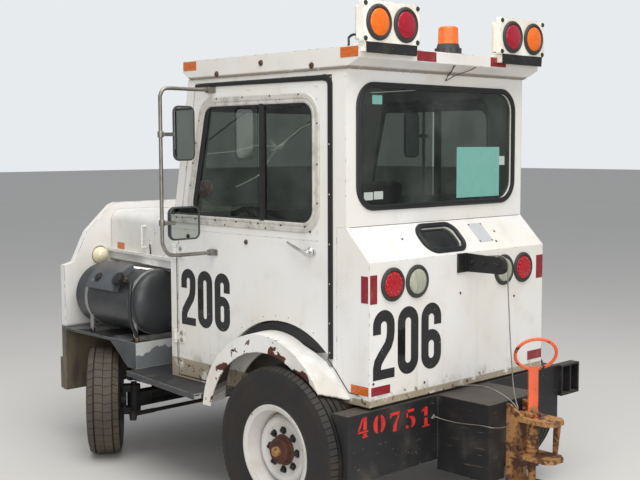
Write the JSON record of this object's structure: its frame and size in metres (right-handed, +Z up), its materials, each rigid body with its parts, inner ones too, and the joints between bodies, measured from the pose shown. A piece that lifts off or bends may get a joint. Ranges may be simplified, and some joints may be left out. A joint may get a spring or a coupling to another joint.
{
  "type": "aircraft towing and pushback tractor with a closed cab",
  "caption": "Small four-wheeled airport tractor with an enclosed two-door cab, steered front wheels, a side-mounted gas tank, roof lamp boxes and a sprung pin hitch on a heavy rear bumper",
  "frame": {"origin": "on the ground under the middle of the vehicle", "axes": "+X forward, +Y to the left of the vehicle, +Z up"},
  "size_m": [2.757, 1.74, 2.15],
  "materials": {
    "white_paint": "worn gloss white paint with rust at the edges",
    "black_paint": "thick worn black paint",
    "grey_paint": "scuffed dark grey paint",
    "cream_paint": "faded cream paint",
    "orange_paint": "chipped orange paint",
    "tank_paint": "satin dark grey paint",
    "rusted_steel": "bare steel with orange and brown rust",
    "engine_iron": "oily cast iron",
    "bright_steel": "dull bright metal",
    "wire_rope": "thin steel wire rope",
    "glass": "tinted safety glass",
    "lamp_glass": "clear lamp front in a cream housing",
    "lens_plastic": "red, amber and clear lenses",
    "seal_rubber": "black rubber",
    "cab_plastic": "dark moulded plastic",
    "seat_cloth": "dark seat covers",
    "tyre": "worn tyre rubber"
  },
  "bodies": {
    "chassis": {"frame_rails": "black_paint", "rear_bumper": "black_paint", "hitch_jaw": "rusted_steel", "pulley_arm": "black_paint", "hitch_cables": "wire_rope", "rear_body": "white_paint", "cab_shell": "white_paint", "roof_cap": "white_paint", "cab_glass": "glass", "window_seals": "seal_rubber", "dashboard": "cab_plastic", "steering_wheel": "cab_plastic", "seats": "seat_cloth", "rear_fenders": "white_paint", "side_shelves": "grey_paint", "front_panel": "white_paint", "headlamps": "lamp_glass", "engine_bay": "white_paint", "engine_block": "engine_iron", "gas_tank": "tank_paint", "tank_fittings": "bright_steel", "gas_hose": "seal_rubber", "roof_lamp_boxes": "cream_paint", "signal_lamps": "lens_plastic", "axles": "black_paint"},
    "pin": {"hitch_pin": "orange_paint"},
    "bonnet_left": {"hood_left": "white_paint"},
    "bonnet_right": {"hood_right": "white_paint"},
    "left_door": {"door_left": "white_paint", "door_left_fittings": "bright_steel", "door_left_glass": "glass"},
    "right_door": {"door_right": "white_paint", "door_right_fittings": "bright_steel", "door_right_glass": "glass"},
    "left_knuckle": {"knuckle_left": "black_paint"},
    "right_knuckle": {"knuckle_right": "black_paint"},
    "steering_rod": {"tie_rod": "black_paint"},
    "front_left": {"front_left_wheel": "white_paint", "front_left_tyre": "tyre"},
    "front_right": {"front_right_wheel": "white_paint", "front_right_tyre": "tyre"},
    "rear_left": {"rear_left_wheel": "white_paint", "rear_left_tyre": "tyre"},
    "rear_right": {"rear_right_wheel": "white_paint", "rear_right_tyre": "tyre"}
  },
  "joints": [
    {"name": "pin_lift", "type": "slide", "parent": "chassis", "child": "pin", "axis": [0, 0, 1], "range_m": [0, 0.09]},
    {"name": "bonnet_left_lift", "type": "hinge", "parent": "chassis", "child": "bonnet_left", "pos_m": [1.065, 0.008, 1.253], "axis": [1, 0, 0], "range_deg": [0, 70]},
    {"name": "bonnet_right_lift", "type": "hinge", "parent": "chassis", "child": "bonnet_right", "pos_m": [1.065, -0.008, 1.253], "axis": [-1, 0, 0], "range_deg": [0, 70]},
    {"name": "left_door_swing", "type": "hinge", "parent": "chassis", "child": "left_door", "pos_m": [0.371, 0.59, 0.9], "axis": [0, 0, -1], "range_deg": [0, 75]},
    {"name": "right_door_swing", "type": "hinge", "parent": "chassis", "child": "right_door", "pos_m": [0.371, -0.59, 0.9], "axis": [0, 0, 1], "range_deg": [0, 75]},
    {"name": "steer_left", "type": "hinge", "parent": "chassis", "child": "left_knuckle", "pos_m": [0.942, 0.45, 0.277], "axis": [0, 0, 1], "range_deg": [-2, 74]},
    {"name": "steer_right", "type": "hinge", "parent": "chassis", "child": "right_knuckle", "pos_m": [0.942, -0.45, 0.277], "axis": [0, 0, 1], "range_deg": [-2, 74]},
    {"name": "rod_swing", "type": "hinge", "parent": "left_knuckle", "child": "steering_rod", "pos_m": [0.82065, 0.53817, 0.23], "axis": [0, 0, 1], "range_deg": [-74, 2]},
    {"name": "front_left_spin", "type": "hinge", "parent": "left_knuckle", "child": "front_left", "pos_m": [1.02723, 0.56731, 0.277], "axis": [0.5878, 0.809, 0], "continuous": true},
    {"name": "front_right_spin", "type": "hinge", "parent": "right_knuckle", "child": "front_right", "pos_m": [0.85677, -0.56731, 0.277], "axis": [0.5878, 0.809, 0], "continuous": true},
    {"name": "rear_left_spin", "type": "hinge", "parent": "chassis", "child": "rear_left", "pos_m": [-0.509, 0.673, 0.3485], "axis": [0, 1, 0], "continuous": true},
    {"name": "rear_right_spin", "type": "hinge", "parent": "chassis", "child": "rear_right", "pos_m": [-0.509, -0.673, 0.3485], "axis": [0, 1, 0], "continuous": true}
  ],
  "couplings": [
    {"joint": "steer_right", "follows": "steer_left", "ratio": 1},
    {"joint": "rod_swing", "follows": "steer_left", "ratio": -1}
  ]
}
